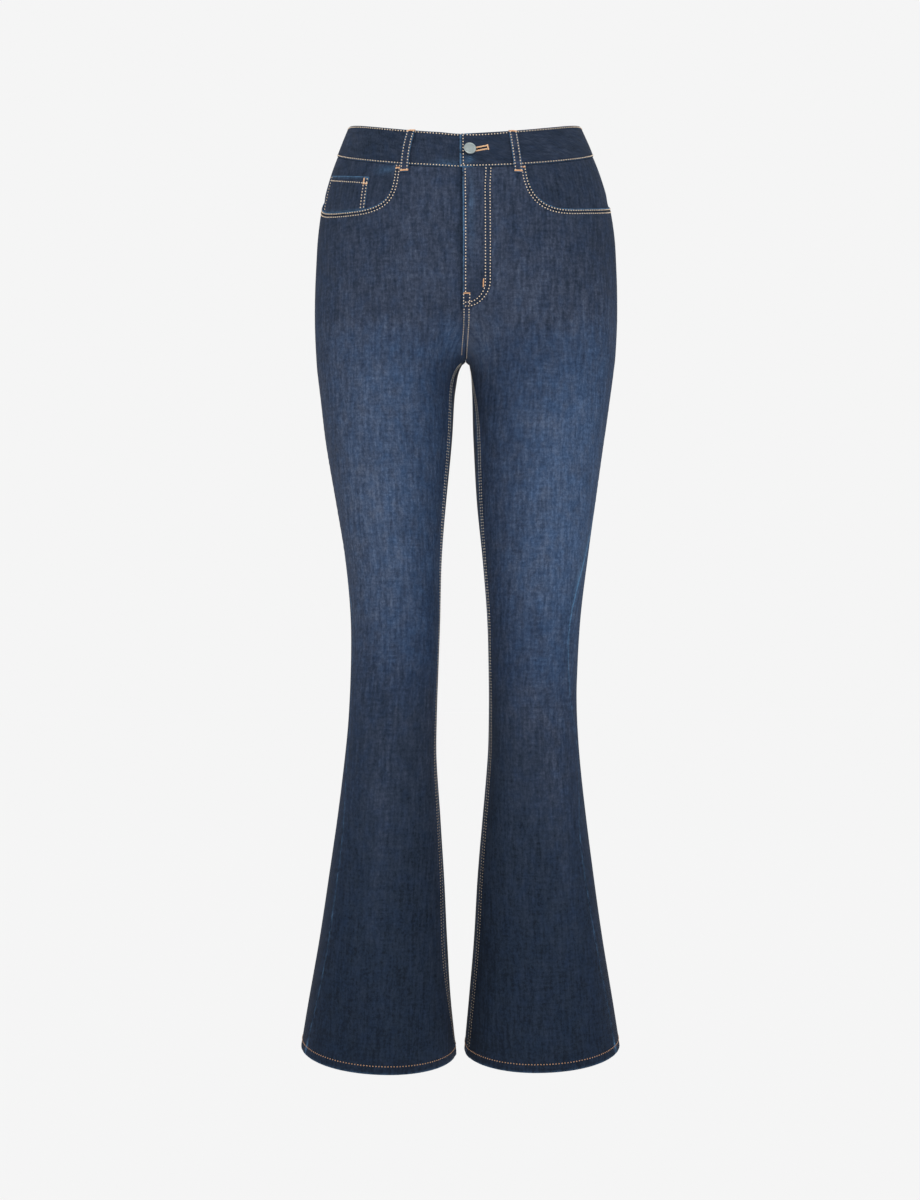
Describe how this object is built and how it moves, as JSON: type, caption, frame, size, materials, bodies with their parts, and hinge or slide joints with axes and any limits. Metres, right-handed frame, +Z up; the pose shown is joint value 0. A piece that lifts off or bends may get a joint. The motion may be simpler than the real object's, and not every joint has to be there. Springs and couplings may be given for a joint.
{
  "type": "flared jeans",
  "caption": "Full-length women's jeans in dark blue denim, high at the waist, close over hip, thigh and knee and flared to wide hems, filled out as worn.",
  "frame": {"origin": "middle of the waist, halfway up the waistband at the side seams, where the wearer's waist holds the jeans up", "axes": "+Z up along the legs, -Y out of the front, +X towards the wearer's left"},
  "size_m": [0.3712, 0.2419, 1.0929],
  "materials": {
    "denim": "dark indigo twill, faded down the thighs and along the seams",
    "thread": "golden tan topstitching thread",
    "button_metal": "plain satin silver-grey button"
  },
  "bodies": {
    "root": {"front_right": "denim", "front_left": "denim", "back_right": "denim", "back_left": "denim", "yoke_right": "denim", "yoke_left": "denim", "pocket_facing_right": "denim", "pocket_facing_left": "denim", "back_pocket_right": "denim", "back_pocket_left": "denim", "coin_pocket": "denim", "fly": "denim", "waistband": "denim", "belt_loop_front_right": "denim", "belt_loop_front_left": "denim", "belt_loop_rear_right": "denim", "belt_loop_rear_left": "denim", "belt_loop_centre_back": "denim", "button": "button_metal"}
  },
  "joints": []
}
